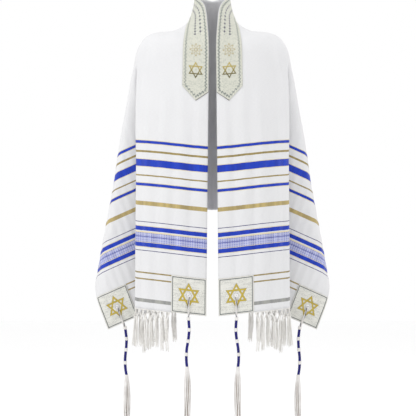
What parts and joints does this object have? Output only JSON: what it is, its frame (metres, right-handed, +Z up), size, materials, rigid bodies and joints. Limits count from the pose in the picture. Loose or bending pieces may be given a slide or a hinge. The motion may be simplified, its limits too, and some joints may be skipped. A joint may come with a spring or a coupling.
{
  "type": "tallit prayer shawl, worn",
  "caption": "White tallit prayer shawl with blue and gold stripes, a neck band, corner patches, knotted fringe and corded corner tassels, hanging as worn.",
  "frame": {"origin": "middle of the neck opening, level with the wearer's collar, where the shawl is held up", "axes": "+Z up, -Y the way the wearer faces, +X the wearer's left"},
  "size_m": [0.5974, 0.2708, 1.1065],
  "materials": {
    "cloth": "smooth woven cloth, white, with woven blue, gold and grey stripes across both ends",
    "band": "ivory satin with a woven grey zigzag border and gold ornament",
    "patch": "ivory-grey patterned satin with a dark border and a gold six-pointed star",
    "fringe": "white twisted thread",
    "cord": "white cord wound with navy blue thread between its knots"
  },
  "bodies": {
    "root": {"shawl_cloth": "cloth", "neck_band": "band", "corner_patch_right_inner": "patch", "corner_patch_right_outer": "patch", "corner_patch_left_inner": "patch", "corner_patch_left_outer": "patch", "fringe_right": "fringe", "fringe_left": "fringe", "tassel_cord_right_inner": "cord", "tassel_cord_right_outer": "cord", "tassel_cord_left_inner": "cord", "tassel_cord_left_outer": "cord"}
  },
  "joints": []
}
